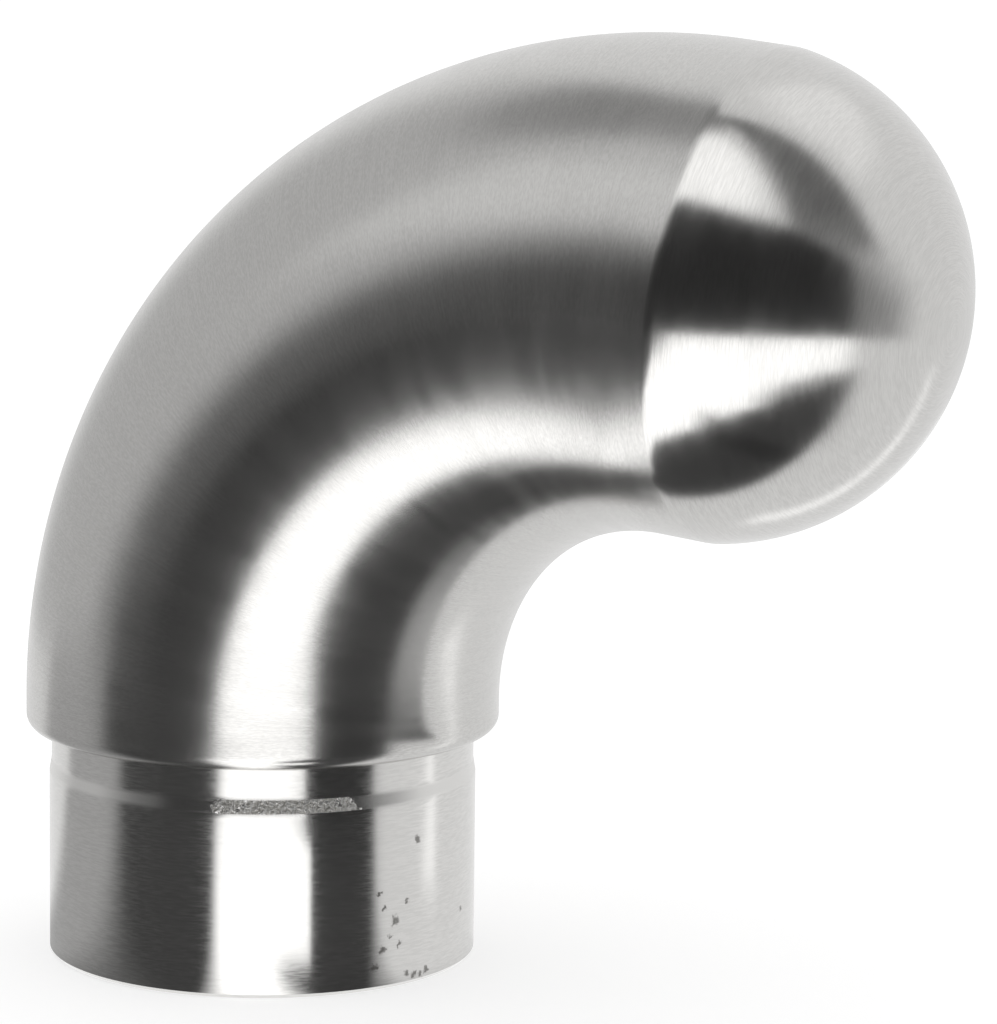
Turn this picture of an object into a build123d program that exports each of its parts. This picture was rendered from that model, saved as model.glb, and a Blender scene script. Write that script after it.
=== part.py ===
from build123d import *
import math
import os

# Handrail end elbow, one hollow casting in stainless steel, sized in millimetres.
# A spigot plugs into the end of a round handrail tube, the body turns through a bend of the tube's
# own outside diameter, and a dome closes its far end.
# The origin is the middle of the shoulder that the tube's end meets. +Z runs up the spigot's axis,
# the bend turns towards +X, and the XZ plane is the plane of symmetry.

# Handrail tube that the elbow fits, and the spigot's gap to its bore, all round
tube_diameter = 42.4
tube_wall = 2.0
spigot_clearance = 0.05

# Body: a straight lead above the shoulder, the bend of the centreline, and a short straight arm
# that ends at the middle of the dome's sphere. The shoulder's edge is rounded, over no more than
# this share of the shoulder's width or the lead's height.
lead_length = 2.6
bend_radius = 39.8
bend_angle = 95.3
arm_length = 1.0
body_wall = 3.0
shoulder_round = 1.2
largest_round_share = 0.6

# Dome: its sphere is a little larger than the body, so it meets the body at a soft rim, whose
# turn is spread over a wide blend
dome_excess = 0.3
rim_blend = 5.0

# Spigot: a turned relief under the shoulder, a conical step up to the fitting diameter, and a
# chamfered end
spigot_length = 20.5
spigot_wall = 2.6
relief_width = 2.9
relief_depth = 0.2
step_width = 1.2
end_chamfer = 0.35
bore_chamfer = 0.5

# Radii that follow from the sizes above
body_radius = tube_diameter / 2
dome_radius = body_radius + dome_excess
hollow_radius = body_radius - body_wall
spigot_radius = body_radius - tube_wall - spigot_clearance
relief_radius = spigot_radius - relief_depth
bore_radius = spigot_radius - spigot_wall


def spigot_and_lead():
    """Spigot, shoulder and lead as one turned ring; its bore widens along the lead into the bend."""
    outline = Polyline(
        (bore_radius + bore_chamfer, -spigot_length),
        (spigot_radius - end_chamfer, -spigot_length),
        (spigot_radius, end_chamfer - spigot_length),
        (spigot_radius, -relief_width - step_width),
        (relief_radius, -relief_width),
        (relief_radius, 0),
        (body_radius, 0),
        (body_radius, lead_length),
        (hollow_radius, lead_length),
        (bore_radius, 0),
        (bore_radius, bore_chamfer - spigot_length),
        close=True,
    )
    section = make_face(outline)
    shoulder_edge = section.vertices().sort_by_distance((body_radius, 0, 0))[0]
    widest_round = largest_round_share * min(lead_length, body_radius - relief_radius)
    edge_round = min(shoulder_round, widest_round)
    return revolve(Plane.XZ * fillet(shoulder_edge, edge_round), Axis.Z)


def bend():
    """Ring section of the body turned about the bend's centre."""
    ring = Circle(body_radius) - Circle(hollow_radius)
    bend_axis = Axis((bend_radius, 0, lead_length), (0, 1, 0))
    return revolve(Pos(0, 0, lead_length) * ring, bend_axis, bend_angle)


def far_plane():
    """Plane square to the centreline at the far end of the bend, facing along the arm."""
    turn = math.radians(bend_angle)
    along = (math.sin(turn), 0, math.cos(turn))
    end_x = bend_radius * (1 - math.cos(turn))
    end_z = lead_length + bend_radius * math.sin(turn)
    return Plane(origin=(end_x, 0, end_z), x_dir=(0, 1, 0), z_dir=along)


def domed_run(radius, cap_radius, blend):
    """Straight run and spherical cap turned about one axis, with a blend arc tangent to both."""
    rim_height = arm_length + math.sqrt((cap_radius - blend) ** 2 - (radius - blend) ** 2)
    slope = math.degrees(math.atan2(rim_height - arm_length, radius - blend))
    pole_height = arm_length + cap_radius
    outline = Curve() + [
        Polyline((0, pole_height), (0, 0), (radius, 0), (radius, rim_height)),
        CenterArc((0, arm_length), cap_radius, slope, 90 - slope),
    ]
    if blend > 0:
        outline += CenterArc((radius - blend, rim_height), blend, 0, slope)
    return revolve(Plane.XZ * make_face(outline), Axis.Z)


def domed_arm():
    """Hollow arm and dome, with the same wall all over."""
    outside = domed_run(body_radius, dome_radius, rim_blend)
    inside = domed_run(hollow_radius, dome_radius - body_wall, 0)
    return far_plane() * (outside - inside)


end_elbow = spigot_and_lead() + bend() + domed_arm()

os.makedirs("parts", exist_ok=True)
export_step(end_elbow, "parts/end_elbow.step")
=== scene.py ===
"""Handrail end elbow in satin-brushed stainless steel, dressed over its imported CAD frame.

The whole elbow is one surface: a list of rings, each with a place along the centreline and a radius,
carried up the spigot, round the bend, over the dome and back down through the hollow. Lengths are in
metres. The spigot's axis is Z, the bend turns towards +X and the shoulder is at Z = 0.
"""

import math

import bpy
import numpy as np
from bpy.props import FloatProperty, FloatVectorProperty, IntProperty, PointerProperty
from mathutils import Matrix, Vector


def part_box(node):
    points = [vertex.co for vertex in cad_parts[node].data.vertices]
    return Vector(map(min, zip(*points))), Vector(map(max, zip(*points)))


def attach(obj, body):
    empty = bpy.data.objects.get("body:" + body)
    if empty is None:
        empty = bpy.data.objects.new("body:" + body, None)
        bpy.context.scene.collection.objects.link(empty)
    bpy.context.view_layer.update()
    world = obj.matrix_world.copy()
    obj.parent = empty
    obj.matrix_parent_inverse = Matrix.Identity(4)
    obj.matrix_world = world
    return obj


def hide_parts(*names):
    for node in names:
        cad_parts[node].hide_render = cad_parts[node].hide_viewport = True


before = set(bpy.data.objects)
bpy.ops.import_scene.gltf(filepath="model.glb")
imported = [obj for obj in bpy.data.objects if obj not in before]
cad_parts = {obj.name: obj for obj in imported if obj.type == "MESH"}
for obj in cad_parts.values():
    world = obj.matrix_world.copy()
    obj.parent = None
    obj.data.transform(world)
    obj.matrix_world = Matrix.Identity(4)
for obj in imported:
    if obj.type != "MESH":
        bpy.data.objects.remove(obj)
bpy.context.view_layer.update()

bl_info = {
    "name": "Handrail end elbow",
    "version": (1, 0, 0),
    "blender": (4, 5, 0),
    "location": "3D View > Sidebar > Elbow",
    "description": "Builds a brushed stainless handrail end elbow and the studio it is shown in",
    "category": "Object",
}

MM = 0.001
NODE = "end_elbow"
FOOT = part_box(NODE)[0].z

# Faces that meet at a wider turn than this have a sharp edge between them
SHARP_TURN = math.radians(28)

# Kinds of surface, in the order of the elbow's material slots
BRUSHED, DOME, TURNED, STEP, CAST = range(5)


def length(name, text, default):
    """Length property in metres."""
    return FloatProperty(
        name=name, description=text, default=default, min=0, precision=5, unit="LENGTH"
    )


def angle(name, text, degrees):
    """Angle property."""
    return FloatProperty(name=name, description=text, default=math.radians(degrees), unit="ROTATION")


def share(name, text, default, top=1.0):
    """Plain number from nothing to its top value."""
    return FloatProperty(name=name, description=text, default=default, min=0, max=top)


def linear(code):
    """Linear red, green and blue of a colour written as sRGB hex."""
    parts = [int(code[i : i + 2], 16) / 255 for i in (1, 3, 5)]
    return [c / 12.92 if c <= 0.04045 else ((c + 0.055) / 1.055) ** 2.4 for c in parts]


def colour(name, text, code):
    """Colour property."""
    return FloatVectorProperty(
        name=name, description=text, default=linear(code), subtype="COLOR", min=0, max=1
    )


class ElbowSizes(bpy.types.PropertyGroup):
    """Sizes of the elbow, as in its solid."""

    tube_diameter: length("Tube", "Outside diameter of the handrail tube and of the body", 0.0424)
    tube_wall: length("Tube wall", "Wall of the handrail tube", 0.002)
    clearance: length("Clearance", "Gap between the spigot and the tube's bore", 0.00005)
    lead: length("Lead", "Straight body above the shoulder", 0.0026)
    bend_radius: length("Bend radius", "Radius of the bend's centreline", 0.0398)
    bend_angle: angle("Bend angle", "Turn of the bend", 95.3)
    arm: length("Arm", "Straight run from the bend to the middle of the dome's sphere", 0.001)
    wall: length("Body wall", "Wall of the body", 0.003)
    shoulder_round: length("Shoulder round", "Radius of the shoulder's edge", 0.0012)
    dome_excess: length("Dome excess", "How much larger the dome's radius is than the body's", 0.0003)
    rim_blend: length("Rim blend", "Radius that softens the dome's rim", 0.005)
    spigot_length: length("Spigot", "Length of the spigot below the shoulder", 0.0205)
    spigot_wall: length("Spigot wall", "Wall of the spigot", 0.0026)
    relief_width: length("Relief width", "Height of the turned relief under the shoulder", 0.0029)
    relief_depth: length("Relief depth", "Depth of the turned relief", 0.0002)
    step_width: length("Step width", "Height of the rough step under the relief", 0.0012)
    end_chamfer: length("End chamfer", "Chamfer of the spigot's end", 0.00035)
    bore_chamfer: length("Bore chamfer", "Chamfer of the spigot's mouth", 0.0005)
    around: IntProperty(name="Around", description="Points round each ring", default=168, min=16, max=256)


class ElbowFinish(bpy.types.PropertyGroup):
    """Colours and gloss of the steel."""

    steel: colour("Steel", "Brushed steel, lit evenly", "#d1d0ce")
    steel_dull: colour("Dull steel", "Steel in the deeper strokes", "#c8c7c5")
    bright: colour("Turned steel", "Freshly turned steel", "#d9d8d6")
    rough: colour("Rough steel", "Cast skin inside and in the step", "#b6b4af")
    stain: colour("Stain", "Dark tint in the pits and stains", "#45423d")
    brushed_roughness: share("Brushed roughness", "Roughness of the brushed bend", 0.24)
    dome_roughness: share("Dome roughness", "Roughness of the finer brushed dome", 0.20)
    turned_roughness: share("Turned roughness", "Roughness of the turned spigot", 0.20)


class ElbowStudio(bpy.types.PropertyGroup):
    """Camera, floor and light."""

    azimuth: angle("Azimuth", "Camera's turn round the elbow from the front", 27.53)
    elevation: angle("Elevation", "Camera's height above the horizon", 9.40)
    roll: angle("Roll", "Camera's turn about its own axis", 0.71)
    distance: length("Distance", "From the aim point to the camera", 0.4294)
    lens: share("Lens", "Focal length in millimetres", 174.36, top=400.0)
    backdrop: colour("Floor", "Pale floor, which also gives out light of its own", "#c0c0c0")


class ElbowSettings(bpy.types.PropertyGroup):
    """All settings of the elbow and its studio."""

    sizes: PointerProperty(type=ElbowSizes)
    finish: PointerProperty(type=ElbowFinish)
    studio: PointerProperty(type=ElbowStudio)


# The elbow's surface


def line(start, end, steps):
    """Points spaced evenly from start towards end, which is left to the next stretch."""
    shares = np.arange(steps)[:, None] / steps
    return np.array(start) + shares * (np.array(end) - np.array(start))


def arc(centre, radius, first, last, steps):
    """Points on a circle from one angle towards the next, as (centre place + radius sine, centre
    radius + radius cosine)."""
    turn = first + (last - first) * np.arange(steps) / steps
    return np.column_stack([centre[0] + radius * np.sin(turn), centre[1] + radius * np.cos(turn)])


def rim(s, body, cap, blend):
    """Place of the dome's rim along the arm and its slope, for a cap and a body joined by a blend:
    the blend's centre lies both a blend inside the body and a blend inside the cap."""
    reach = math.sqrt((cap - blend) ** 2 - (body - blend) ** 2)
    return s.arm + reach, math.atan2(reach, body - blend)


def rings(s):
    """Rings of the whole surface from the dome's pole down the outside and back up the hollow, as
    (place along the centreline, radius), and the kind of surface below each ring."""
    body = s.tube_diameter / 2
    dome = body + s.dome_excess
    hollow = body - s.wall
    spigot = body - s.tube_wall - s.clearance
    relief = spigot - s.relief_depth
    bore = spigot - s.spigot_wall
    bend_end = s.lead + s.bend_radius * s.bend_angle
    rim_place, rim_slope = rim(s, body, dome, s.rim_blend)
    inner_place, inner_slope = rim(s, hollow, dome - s.wall, 0)
    dome_middle = bend_end + s.arm
    shoulder = s.shoulder_round
    foot = -s.spigot_length
    step_foot = -s.relief_width - s.step_width
    quarter = math.pi / 2
    runs = [
        (DOME, arc((dome_middle, 0), dome, quarter, rim_slope, 72)[1:]),
        (DOME, arc((bend_end + rim_place, body - s.rim_blend), s.rim_blend, rim_slope, 0, 8)),
        (BRUSHED, line((bend_end + rim_place, body), (bend_end, body), 8)),
        (BRUSHED, line((bend_end, body), (s.lead, body), 190)),
        (BRUSHED, line((s.lead, body), (shoulder, body), 5)),
        (BRUSHED, arc((shoulder, body - shoulder), shoulder, 0, -quarter, 12)),
        (TURNED, line((0, body - shoulder), (0, relief), 3)),
        (TURNED, line((0, relief), (-s.relief_width, relief), 8)),
        (STEP, line((-s.relief_width, relief), (step_foot, spigot), 4)),
        (TURNED, line((step_foot, spigot), (foot + s.end_chamfer, spigot), 32)),
        (TURNED, line((foot + s.end_chamfer, spigot), (foot, spigot - s.end_chamfer), 2)),
        (TURNED, line((foot, spigot - s.end_chamfer), (foot, bore + s.bore_chamfer), 3)),
        (TURNED, line((foot, bore + s.bore_chamfer), (foot + s.bore_chamfer, bore), 2)),
        (CAST, line((foot + s.bore_chamfer, bore), (0, bore), 12)),
        (CAST, line((0, bore), (s.lead, hollow), 3)),
        (CAST, line((s.lead, hollow), (bend_end, hollow), 90)),
        (CAST, line((bend_end, hollow), (bend_end + inner_place, hollow), 3)),
        (CAST, arc((dome_middle, 0), dome - s.wall, inner_slope, quarter, 40)),
    ]
    kinds = np.concatenate([np.full(len(points), kind) for kind, points in runs])
    poles = ((dome_middle + dome, 0.0), (dome_middle + dome - s.wall, 0.0))
    return np.concatenate([points for _, points in runs]), kinds, poles


def section_frames(s, place):
    """Middle and inward axis of the section at each place along the centreline: straight up the
    spigot's axis, round a circle of the bend's radius, then straight on along the arm."""
    turn = np.clip((place - s.lead) / s.bend_radius, 0, s.bend_angle)
    straight = np.minimum(place, s.lead)
    beyond = np.maximum(place - s.lead - s.bend_radius * s.bend_angle, 0)
    x = s.bend_radius * (1 - np.cos(turn)) + beyond * np.sin(turn)
    z = straight + s.bend_radius * np.sin(turn) + beyond * np.cos(turn)
    zero = np.zeros_like(x)
    return np.column_stack([x, zero, z]), np.column_stack([np.cos(turn), zero, -np.sin(turn)])


def elbow_surface(s):
    """Carries every ring to its section: middle + radius (cosine inward axis + sine Y). Returns the
    points, their places on the elbow as if it were bent straight, the faces, the faces' kinds and
    the UV map, which runs along the rings' line in U and round each ring in V."""
    ring, kinds, poles = rings(s)
    count, around = len(ring), s.around
    turn = np.arange(around) * 2 * np.pi / around
    middle, inward = section_frames(s, ring[:, 0])
    side = np.array([0.0, 1.0, 0.0])
    reach = np.cos(turn)[None, :, None] * inward[:, None] + np.sin(turn)[None, :, None] * side
    points = middle[:, None] + ring[:, 1, None, None] * reach
    tips = section_frames(s, np.array([poles[0][0], poles[1][0]]))[0]
    points = np.concatenate([points.reshape(-1, 3), tips])

    whole = np.vstack([poles[0], ring, poles[1]])
    run = np.concatenate([[0], np.cumsum(np.linalg.norm(np.diff(whole, axis=0), axis=1))])
    across = np.stack([np.cos(turn), np.sin(turn)], axis=1)[None] * ring[:, 1, None, None]
    along = np.broadcast_to(run[1:-1, None, None], (count, around, 1))
    unbent = np.concatenate([along, across], axis=2).reshape(-1, 3)
    unbent = np.concatenate([unbent, [[run[0], 0, 0], [run[-1], 0, 0]]])

    i, j = np.meshgrid(np.arange(count - 1), np.arange(around), indexing="ij")
    i, j = i.ravel(), j.ravel()
    after = (j + 1) % around
    here, below = i * around, (i + 1) * around
    quads = np.column_stack([here + j, below + j, below + after, here + after])
    k = np.arange(around)
    k_after = (k + 1) % around
    last = (count - 1) * around
    first_fan = np.column_stack([np.full(around, count * around), k, k_after])
    last_fan = np.column_stack([np.full(around, count * around + 1), last + k_after, last + k])
    faces = quads.tolist() + first_fan.tolist() + last_fan.tolist()
    face_kinds = np.concatenate([kinds[i], np.full(around, kinds[0]), np.full(around, kinds[-1])])

    u = run[1:-1] / run[-1]
    quad_u = np.column_stack([u[i], u[i + 1], u[i + 1], u[i]])
    quad_v = np.column_stack([j, j, j + 1, j + 1]) / around
    first_u = np.column_stack([np.zeros(around), np.full(around, u[0]), np.full(around, u[0])])
    first_v = np.column_stack([k + 0.5, k, k + 1]) / around
    last_u = np.column_stack([np.ones(around), np.full(around, u[-1]), np.full(around, u[-1])])
    last_v = np.column_stack([k + 0.5, k + 1, k]) / around
    flat_u = np.concatenate([quad_u.ravel(), first_u.ravel(), last_u.ravel()])
    flat_v = np.concatenate([quad_v.ravel(), first_v.ravel(), last_v.ravel()])
    return points, unbent, faces, face_kinds, np.column_stack([flat_u, flat_v])


def new_object(name, points, faces):
    """Object at the origin with a mesh of these points and faces."""
    mesh = bpy.data.meshes.new(name)
    mesh.from_pydata(points.tolist(), [], faces)
    obj = bpy.data.objects.new(name, mesh)
    bpy.context.scene.collection.objects.link(obj)
    return obj


# Materials


def new_material(name):
    """Material with an empty node tree and its output."""
    material = bpy.data.materials.new(name)
    material.use_nodes = True
    tree = material.node_tree
    tree.nodes.clear()
    return material, tree, tree.nodes.new("ShaderNodeOutputMaterial")


def add(tree, kind, inputs=None, **settings):
    """Adds a node, gives it its settings, and links or sets each input."""
    node = tree.nodes.new(kind)
    for key, value in settings.items():
        setattr(node, key, value)
    for key, value in (inputs or {}).items():
        if isinstance(value, bpy.types.NodeSocket):
            tree.links.new(value, node.inputs[key])
        else:
            node.inputs[key].default_value = value
    return node


def stroke_noise(tree, width, run, detail=2.0):
    """Noise drawn out round the section: strokes of this width along the elbow and this length
    round it, in metres, on the coordinates of the elbow bent straight."""
    place = add(tree, "ShaderNodeAttribute", attribute_name="unbent")
    scale = (1 / width, 1 / run, 1 / run)
    scaled = add(
        tree, "ShaderNodeVectorMath", {0: place.outputs["Vector"], 1: scale}, operation="MULTIPLY"
    )
    noise = add(
        tree, "ShaderNodeTexNoise", {"Vector": scaled.outputs[0], "Scale": 1.0, "Detail": detail}
    )
    return noise.outputs["Fac"]


def maths(tree, operation, first, second):
    """Sum, product or other operation on two values."""
    return add(tree, "ShaderNodeMath", {0: first, 1: second}, operation=operation).outputs[0]


def spread(tree, value, low, high, out_low, out_high):
    """Smooth step of a value from one range to another. A noise lies mostly between 0.3 and 0.7, and
    a narrower range round a half gives it more contrast."""
    node = add(
        tree, "ShaderNodeMapRange",
        {"Value": value, "From Min": low, "From Max": high, "To Min": out_low, "To Max": out_high},
        interpolation_type="SMOOTHSTEP",
    )
    return node.outputs["Result"]


def blend_colours(tree, share_socket, first, second):
    """Mix of two colours."""
    node = add(tree, "ShaderNodeMix", {"Factor": share_socket}, data_type="RGBA")
    for key, value in ((6, first), (7, second)):
        if isinstance(value, bpy.types.NodeSocket):
            tree.links.new(value, node.inputs[key])
        else:
            node.inputs[key].default_value = (*value, 1)
    return node.outputs[2]


def steel_shader(tree, output, tint, roughness, anisotropy, height, depth):
    """Metal whose light is drawn out along the elbow, with a relief of this depth in metres."""
    bump = add(tree, "ShaderNodeBump", {"Height": height, "Strength": 1.0, "Distance": depth})
    sweep = add(tree, "ShaderNodeTangent", direction_type="UV_MAP", uv_map="sweep")
    shader = add(
        tree, "ShaderNodeBsdfPrincipled",
        {
            "Base Color": tint, "Metallic": 1.0, "Roughness": roughness, "Anisotropic": anisotropy,
            "Tangent": sweep.outputs[0], "Normal": bump.outputs[0],
        },
    )
    tree.links.new(shader.outputs[0], output.inputs["Surface"])


# How far each brush draws the light out along the elbow, from nothing to one, and the length of its
# strokes and depth of its relief in metres
SATIN_BRUSH = (0.3, 0.5 * MM, 0.0012 * MM)
FINE_BRUSH = (0.5, 1.2 * MM, 0.0006 * MM)
TURNED_ANISOTROPY = 0.6


def brushed_stainless(name, f, roughness, anisotropy, stroke, relief):
    """Cast stainless steel, belt-brushed round its section. It gives soft bands of light that run
    along the elbow, with a fine grain and faint strokes across them."""
    material, tree, output = new_material(name)
    # Real strokes are a few hundredths of a millimetre wide, so these are drawn a few times coarser
    fine = stroke_noise(tree, 0.09 * MM, stroke, 1.0)
    hair = stroke_noise(tree, 0.16 * MM, 9 * MM, 1.0)
    broad = stroke_noise(tree, 2.5 * MM, 9 * MM)
    grain = maths(tree, "ADD", maths(tree, "MULTIPLY", fine, 0.7), maths(tree, "MULTIPLY", hair, 0.3))
    tint = blend_colours(tree, spread(tree, grain, 0.36, 0.64, 0, 1), f.steel_dull, f.steel)
    gloss = spread(tree, broad, 0.3, 0.7, roughness - 0.02, roughness + 0.02)
    steel_shader(tree, output, tint, gloss, anisotropy, grain, relief)
    return material


def mark(tree, place, centre, size):
    """One inside a small mark round a centre and nothing outside it."""
    away = add(tree, "ShaderNodeVectorMath", {0: place, 1: centre}, operation="DISTANCE").outputs["Value"]
    return spread(tree, away, size * 0.3, size, 1, 0)


# Share of the stain's colour in a pit, and how far the noise moves the pits' outlines
PIT_STRENGTH = 0.7
PIT_UNEVENNESS = 1.1 * MM

# Marks on the spigot: azimuth from the front in degrees, height and radius in millimetres
PITS = [
    (67.5, -14.5, 0.55), (63.6, -17.0, 0.50), (69.1, -16.6, 0.32), (61.0, -18.4, 0.55), (75.4, -7.5, 0.44),
    (64.4, -13.2, 0.34), (71.9, -12.9, 0.30), (97.5, -15.2, 0.42), (71.6, -19.4, 0.44), (74.2, -19.7, 0.46),
    (76.8, -19.8, 0.42), (79.3, -19.6, 0.44), (62.5, -11.9, 0.30), (66.0, -15.8, 0.30),
]


def pits_and_stains(tree, radius):
    """Share of the dark pits and stains at each point of the spigot. Their outlines are made uneven
    by a fine noise added to the place."""
    place = add(tree, "ShaderNodeTexCoord").outputs["Object"]
    noise = add(tree, "ShaderNodeTexNoise", {"Vector": place, "Scale": 1 / (0.4 * MM), "Detail": 3.0})
    moved = add(
        tree, "ShaderNodeVectorMath",
        {0: noise.outputs["Color"], 1: (PIT_UNEVENNESS,) * 3, 2: place}, operation="MULTIPLY_ADD",
    ).outputs[0]
    marks = 0.0
    for azimuth, height, size in PITS:
        turn = math.radians(azimuth)
        # The noise is half on average, so the centre is moved by as much
        centre = np.array([radius * math.sin(turn), -radius * math.cos(turn), height * MM])
        shifted = (centre + PIT_UNEVENNESS / 2).tolist()
        marks = maths(tree, "MAXIMUM", mark(tree, moved, shifted, size * MM), marks)
    return maths(tree, "MULTIPLY", marks, PIT_STRENGTH)


def turned_stainless(f, radius):
    """Stainless steel turned on a lathe, pitted and stained in a few places. It gives sharper
    upright bands with a fine grain and small dark specks."""
    material, tree, output = new_material("stainless_turned")
    # The lathe's feed of a tenth of a millimetre is drawn a little coarser, to show
    fine = stroke_noise(tree, 0.12 * MM, 1.2 * MM, 1.0)
    lines = stroke_noise(tree, 0.35 * MM, 40 * MM)
    relief = maths(tree, "ADD", maths(tree, "MULTIPLY", fine, 0.75), maths(tree, "MULTIPLY", lines, 0.25))
    marks = pits_and_stains(tree, radius)
    clean = blend_colours(tree, spread(tree, relief, 0.36, 0.64, 0, 1), f.steel, f.bright)
    tint = blend_colours(tree, marks, clean, f.stain)
    gloss = spread(tree, fine, 0.3, 0.7, f.turned_roughness - 0.03, f.turned_roughness + 0.03)
    gloss = maths(tree, "ADD", gloss, maths(tree, "MULTIPLY", marks, 0.3))
    steel_shader(tree, output, tint, gloss, TURNED_ANISOTROPY, relief, 0.0015 * MM)
    return material


# Middle of the step's rough stretch, as an angle from the front towards +X. Its ragged ends lie
# where the distance that way from the axis, with the noise's share added, passes from the first
# distance to the second.
ROUGH_MIDDLE = math.radians(36)
ROUGH_FROM, ROUGH_WHOLE = 19.4 * MM, 20.0 * MM
ROUGH_RAGGEDNESS = 3 * MM
ROUGH_DEPTH = 0.09 * MM


def rough_step(f):
    """Step where the lathe only skimmed the casting. It gives turned steel that breaks, with a
    ragged edge, into bright and dark speckles on the side where the cast skin was left."""
    material, tree, output = new_material("stainless_skimmed_step")
    place = add(tree, "ShaderNodeTexCoord").outputs["Object"]
    noise = add(tree, "ShaderNodeTexNoise", {"Vector": place, "Scale": 1 / (0.28 * MM), "Detail": 3.0})
    pits = spread(tree, noise.outputs["Fac"], 0.38, 0.62, 0, 1)
    middle = (math.sin(ROUGH_MIDDLE), -math.cos(ROUGH_MIDDLE), 0)
    facing = add(
        tree, "ShaderNodeVectorMath", {0: place, 1: middle}, operation="DOT_PRODUCT"
    ).outputs["Value"]
    patchy = add(tree, "ShaderNodeTexNoise", {"Vector": place, "Scale": 1 / (1.1 * MM), "Detail": 2.0})
    uneven = maths(tree, "MULTIPLY", patchy.outputs["Fac"], ROUGH_RAGGEDNESS)
    rough = spread(tree, maths(tree, "ADD", facing, uneven), ROUGH_FROM, ROUGH_WHOLE, 0, 1)
    height = maths(tree, "MULTIPLY", pits, rough)
    tint = blend_colours(tree, maths(tree, "SUBTRACT", rough, height), f.bright, f.rough)
    gloss = spread(tree, rough, 0.0, 1.0, f.turned_roughness + 0.04, 0.3)
    steel_shader(tree, output, tint, gloss, 0.0, height, ROUGH_DEPTH)
    return material


def cast_stainless(f):
    """Stainless steel as cast, inside. It gives a dull, speckled grey with no strokes."""
    material, tree, output = new_material("stainless_as_cast")
    place = add(tree, "ShaderNodeTexCoord").outputs["Object"]
    noise = add(tree, "ShaderNodeTexNoise", {"Vector": place, "Scale": 1 / (0.6 * MM), "Detail": 4.0})
    pits = noise.outputs["Fac"]
    tint = blend_colours(tree, spread(tree, pits, 0.35, 0.65, 0, 1), f.rough, f.steel)
    steel_shader(tree, output, tint, 0.55, 0.0, pits, 0.06 * MM)
    return material


# Studio: what the steel mirrors


def soft_polygon(first, second, corners, edge):
    """One inside a convex polygon whose corners go round clockwise and nothing outside it, with
    smooth sides of this width: the distance inside the nearest side, taken through a smooth step."""
    inside = np.full(first.shape, np.inf)
    for (x, y), (next_x, next_y) in zip(corners, corners[1:] + corners[:1]):
        step_x, step_y = next_x - x, next_y - y
        away = ((first - x) * step_y - (second - y) * step_x) / math.hypot(step_x, step_y)
        inside = np.minimum(inside, away)
    within = np.clip(inside / edge + 0.5, 0, 1)
    return within * within * (3 - 2 * within)


def glow_of(first, second, base, patches):
    """Level of light at each pair of coordinates: a base level, and patches laid over it in order."""
    level = np.full(first.shape, base)
    for patch_level, edge, corners in patches:
        mask = soft_polygon(first, second, corners, edge)
        level = level * (1 - mask) + patch_level * mask
    return level


# Patches of the tent, each a level, a soft edge and corners, by azimuth from the front towards +X
# and elevation in degrees
TENT_LEVEL = 0.9
TENT_PATCHES = [
    # Light wall behind, grey wall at the left and grey cap overhead
    (1.1, 10, [(112, 40), (122, 72), (172, 72), (172, 40)]),
    (0.6, 30, [(-125, -95), (-125, 66), (0, 66), (0, -95)]),
    (0.3, 12, [(-120, 58), (-120, 100), (-20, 100), (-45, 68), (-72, 54), (-100, 52)]),
    (0.2, 10, [(-140, 78), (-140, 100), (72, 100), (72, 84), (-10, 80)]),
    (0.85, 14, [(-60, 26), (-56, 52), (-10, 60), (-10, 28)]),
    # Dark-grey strip at the right
    (0.15, 10, [(58, 18), (64, 88), (102, 88), (102, 18)]),
    # White soft box overhead, soft at its right
    (1.2, 11, [(10, 36), (10, 74), (36, 72), (54, 60), (62, 28)]),
    (1.5, 6, [(-12, 44), (-12, 78), (34, 79), (49, 68), (54, 54), (44, 38), (20, 40)]),
    # Dark room at the front, with soft ends and a sharper middle
    (0.15, 18, [(-60, -95), (-60, -4), (-24, 26), (20, 34), (20, -95)]),
    (0.32, 26, [(40, -95), (40, 32), (86, 28), (114, 0), (114, -95)]),
    (0.03, 6, [(-26, -95), (-26, 10), (-6, 46), (8, 47), (30, 43), (62, 33), (87, 16), (87, -95)]),
]

# Patches of the floor that the steel mirrors, among them a painted shadow of the elbow, by X and Y in
# millimetres
CARD_LEVEL = 0.9
CARD_PATCHES = [
    # Light lines behind
    (1.4, 5, [(42, 22), (150, 136), (158, 130), (49, 16)]),
    (1.3, 8, [(9, 150), (9, 236), (19, 236), (19, 150)]),
    # Grey and dark to the left
    (0.45, 16, [(-400, -400), (-400, 0), (-20, 0), (0, -10), (0, -400)]),
    (0.065, 20, [(-400, -420), (-400, -340), (14, 1.5), (16, -14), (88, -420)]),
    # White, soft at its right
    (1.75, 30, [(60, -420), (60, -30), (150, -18), (420, -20), (420, -420)]),
    (1.9, 4, [(100, -420), (20, -118), (11.5, -86), (5.4, -14), (20, -9), (110, -9), (110, -420)]),
    # Painted shadow of the elbow on the floor under the bend, soft at its right
    (0.3, 22, [(100, -60), (100, -3), (180, -3), (165, -40), (130, -60)]),
    (0.055, 5, [
        (10, -10.5), (16, -7.8), (165, -4.5), (150, -26), (119, -46), (85, -56.5), (62, -54),
        (42, -48), (29, -40), (20, -29),
    ]),
]

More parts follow.
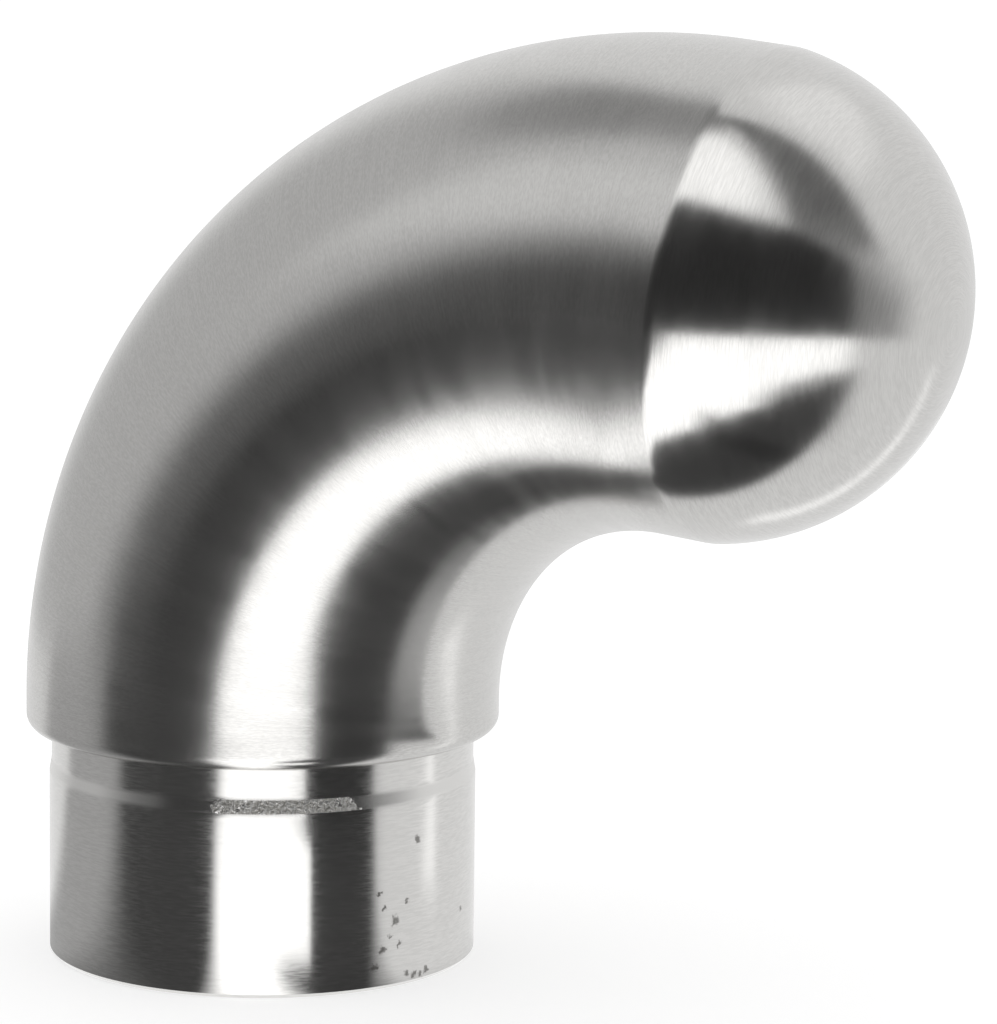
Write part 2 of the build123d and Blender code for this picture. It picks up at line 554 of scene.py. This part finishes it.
# Small cards that the steel mirrors, each a level and corners by X, Y and height over the spigot's
# end in millimetres
SMALL_CARDS = {
    # White, standing beside the spigot, so that its band of light stays upright
    "spigot_card": (1.8, [(17, -26.5, 0), (22.9, -20.7, 0), (22.9, -20.7, 11), (17, -26.5, 11)]),
    # Painted shade: a dark card lying under the crook of the bend, which darkens the crook where it lies in
    # shade
    "crook_painted_shade_card": (0.03, [(23.6, -11.5, 21.5), (30.4, -11.5, 21.5), (30.4, -3, 21.5), (23.6, -3, 21.5)]),
    # Painted shadow: a dark card standing further off at the spigot's right, in the elbow's shadow on the
    # floor, so that the spigot mirrors that shadow as an upright band
    "painted_shadow_card": (0.03, [(60, -50, 0), (76, -8.2, 0), (76, -8.2, 21.5), (60, -50, 21.5)]),
}

TENT_RADIUS = 1.5
FLOOR_RADIUS = 0.26
FLOOR_MIDDLE = (0.04, -0.02)
FOOT_CARD_RADIUS = 0.0191
FOOT_CARD_LEVEL = 1.1
PALE_FLOOR_REACH = 4.0

# Rows and columns of the grids that carry the patches
TENT_GRID = (180, 360)
FLOOR_GRID = (240, 360)

# How far the flat pieces lie under the spigot's end, one under the other
FOOT_CARD_DROP = 0.01 * MM
MIRRORED_FLOOR_DROP = 0.02 * MM
PALE_FLOOR_DROP = 0.05 * MM


def polar_grid(rows, columns, place):
    """Closed fan of rings round Z: place gives the points of a ring from its row's share and turns."""
    turn = np.arange(columns) * 2 * np.pi / columns
    points = np.concatenate([place(row / (rows - 1), turn) for row in range(rows)])
    i, j = np.meshgrid(np.arange(rows - 1), np.arange(columns), indexing="ij")
    i, j = i.ravel(), j.ravel()
    after = (j + 1) % columns
    here, below = i * columns, (i + 1) * columns
    faces = np.column_stack([here + j, here + after, below + after, below + j])
    return points, faces.tolist()


def mirror_only(obj):
    """Leaves an object of the stage to be seen in the steel and nowhere else."""
    obj.visible_camera = False
    obj.visible_diffuse = False
    obj.visible_transmission = False
    obj.visible_volume_scatter = False
    obj.visible_shadow = False


def glow_material(name):
    """Light whose level is the surface's own attribute."""
    material, tree, output = new_material(name)
    level = add(tree, "ShaderNodeAttribute", attribute_name="glow").outputs["Fac"]
    light = add(tree, "ShaderNodeEmission", {"Color": (1.0, 1.0, 1.0, 1), "Strength": level})
    tree.links.new(light.outputs[0], output.inputs["Surface"])
    return material


def glowing(name, points, faces, level):
    """Stage piece that gives out this level of light at each of its points."""
    obj = new_object(name, points, faces)
    attribute = obj.data.attributes.new("glow", "FLOAT", "POINT")
    attribute.data.foreach_set("value", level.astype(np.float32))
    obj.data.materials.append(glow_material(name))
    mirror_only(obj)


def studio_tent(radius):
    """Sphere round the elbow, elevation by row and azimuth by column, all but closed at its poles."""

    def ring(share_up, turn):
        up = np.full(len(turn), math.radians(179.8 * share_up - 89.9))
        return radius * np.column_stack([np.sin(turn) * np.cos(up), -np.cos(turn) * np.cos(up), np.sin(up)])

    points, faces = polar_grid(*TENT_GRID, ring)
    across = np.degrees(np.arctan2(points[:, 0], -points[:, 1]))
    up = np.degrees(np.arcsin(np.clip(points[:, 2] / radius, -1, 1)))
    glowing("studio_tent", points, faces, glow_of(across, up, TENT_LEVEL, TENT_PATCHES))


def mirrored_floor(radius):
    """Disc under the elbow, with rings that crowd towards the middle, and the elbow's painted shadow among
    its patches.
    """

    def ring(share_out, turn):
        reach = radius * (0.002 + 0.998 * share_out**2)
        return np.column_stack([reach * np.sin(turn), -reach * np.cos(turn), np.zeros(len(turn))])

    points, faces = polar_grid(*FLOOR_GRID, ring)
    points = points + [*FLOOR_MIDDLE, FOOT - MIRRORED_FLOOR_DROP]
    level = glow_of(points[:, 0] / MM, points[:, 1] / MM, CARD_LEVEL, CARD_PATCHES)
    glowing("mirrored_floor", points, faces, level)


def small_cards():
    """Cards close to the elbow, all with four corners."""
    for name, (level, card_corners) in SMALL_CARDS.items():
        glowing(name, np.array(card_corners) * MM + [0, 0, FOOT], [[0, 1, 2, 3]], np.full(4, level))


def foot_card(radius, level, count=96):
    """Round card just under the spigot's end, for its chamfer to mirror."""
    turn = np.arange(count) * 2 * np.pi / count
    height = np.full(count, FOOT - FOOT_CARD_DROP)
    circle = np.column_stack([radius * np.cos(turn), radius * np.sin(turn), height])
    glowing("foot_card", circle, [list(range(count))], np.full(count, level))


def pale_floor(s):
    """Plain pale floor with a light of its own, so that it stays pale and keeps a soft shadow."""
    square = PALE_FLOOR_REACH * np.array([[-1, -1, 0], [1, -1, 0], [1, 1, 0], [-1, 1, 0]])
    floor = new_object("floor", square + [0, 0, FOOT - PALE_FLOOR_DROP], [[0, 1, 2, 3]])
    material, tree, output = new_material("floor_matt_paint")
    shader = add(
        tree, "ShaderNodeBsdfPrincipled",
        {
            "Base Color": (*s.backdrop, 1), "Roughness": 0.9, "Specular IOR Level": 0.0,
            "Emission Color": (1, 1, 1, 1), "Emission Strength": 0.55,
        },
    )
    tree.links.new(shader.outputs[0], output.inputs["Surface"])
    floor.data.materials.append(material)
    floor.visible_glossy = False


def white_world():
    """Even white surroundings."""
    world = bpy.data.worlds.new("white_surroundings")
    world.use_nodes = True
    world.node_tree.nodes["Background"].inputs["Color"].default_value = (1, 1, 1, 1)
    world.node_tree.nodes["Background"].inputs["Strength"].default_value = 1.0
    bpy.context.scene.world = world


# Point inside the bend that the camera is aimed at, and how far its aim lies right and up of it
AIM = (0.030, 0, 0.020)
AIM_RIGHT = -0.00566
AIM_UP = 0.00174


def place_camera(s):
    """Camera at the photograph's angle and roll, with no shift."""
    back = Vector((
        math.sin(s.azimuth) * math.cos(s.elevation),
        -math.cos(s.azimuth) * math.cos(s.elevation),
        math.sin(s.elevation),
    ))
    right = Vector((math.cos(s.azimuth), math.sin(s.azimuth), 0))
    up = back.cross(right)
    aim = Vector(AIM) + AIM_RIGHT * right + AIM_UP * up
    turned_right = math.cos(s.roll) * right + math.sin(s.roll) * up
    turned_up = back.cross(turned_right)
    camera = bpy.data.objects.new("camera", bpy.data.cameras.new("camera"))
    camera.matrix_world = Matrix.Translation(aim + back * s.distance) @ Matrix(
        (turned_right, turned_up, back)
    ).transposed().to_4x4()
    camera.data.lens = s.lens
    camera.data.clip_start = 0.01
    bpy.context.scene.collection.objects.link(camera)
    bpy.context.scene.camera = camera


class ELBOW_OT_body(bpy.types.Operator):
    """Build the elbow with its steel finishes"""

    bl_idname = "elbow.body"
    bl_label = "Elbow"

    def execute(self, context):
        settings = context.scene.elbow
        points, unbent, faces, kinds, uv = elbow_surface(settings.sizes)
        elbow = new_object("elbow_surface", points, faces)
        mesh = elbow.data
        mesh.attributes.new("unbent", "FLOAT_VECTOR", "POINT").data.foreach_set("vector", unbent.ravel())
        mesh.uv_layers.new(name="sweep").data.foreach_set("uv", uv.ravel())
        mesh.polygons.foreach_set("material_index", kinds)
        mesh.polygons.foreach_set("use_smooth", np.ones(len(faces), bool))
        mesh.set_sharp_from_angle(angle=SHARP_TURN)
        finish = settings.finish
        sizes = settings.sizes
        spigot = sizes.tube_diameter / 2 - sizes.tube_wall - sizes.clearance
        satin = ("stainless_satin_brushed", finish, finish.brushed_roughness, *SATIN_BRUSH)
        finer = ("stainless_fine_brushed", finish, finish.dome_roughness, *FINE_BRUSH)
        for material in (
            brushed_stainless(*satin),
            brushed_stainless(*finer),
            turned_stainless(finish, spigot),
            rough_step(finish),
            cast_stainless(finish),
        ):
            mesh.materials.append(material)
        if mesh.validate():
            raise RuntimeError("the elbow's mesh had faults")
        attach(elbow, "root")
        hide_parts(NODE)
        return {"FINISHED"}


class ELBOW_OT_studio(bpy.types.Operator):
    """Set up the floor, the light and the camera"""

    bl_idname = "elbow.studio"
    bl_label = "Studio"

    def execute(self, context):
        settings = context.scene.elbow.studio
        white_world()
        pale_floor(settings)
        studio_tent(TENT_RADIUS)
        mirrored_floor(FLOOR_RADIUS)
        foot_card(FOOT_CARD_RADIUS, FOOT_CARD_LEVEL)
        small_cards()
        place_camera(settings)
        context.scene.view_settings.view_transform = "Standard"
        return {"FINISHED"}


class ELBOW_PT_panel(bpy.types.Panel):
    """Sidebar panel of the elbow."""

    bl_label = "Handrail end elbow"
    bl_space_type = "VIEW_3D"
    bl_region_type = "UI"
    bl_category = "Elbow"

    def draw(self, context):
        for operator in OPERATORS:
            self.layout.operator(operator.bl_idname)
        settings = context.scene.elbow
        for group in (settings.sizes, settings.finish, settings.studio):
            for name in group.bl_rna.properties.keys():
                if name not in ("rna_type", "name"):
                    self.layout.prop(group, name)


OPERATORS = (ELBOW_OT_body, ELBOW_OT_studio)
CLASSES = (ElbowSizes, ElbowFinish, ElbowStudio, ElbowSettings, *OPERATORS, ELBOW_PT_panel)


def register():
    for cls in CLASSES:
        bpy.utils.register_class(cls)
    bpy.types.Scene.elbow = PointerProperty(type=ElbowSettings)


def unregister():
    del bpy.types.Scene.elbow
    for cls in reversed(CLASSES):
        bpy.utils.unregister_class(cls)


def corners(box):
    """Two corners as plain lists of numbers."""
    return [list(corner) for corner in box]


def main():
    register()
    bpy.ops.elbow.body()
    bpy.ops.elbow.studio()


if __name__ == "__main__":
    main()
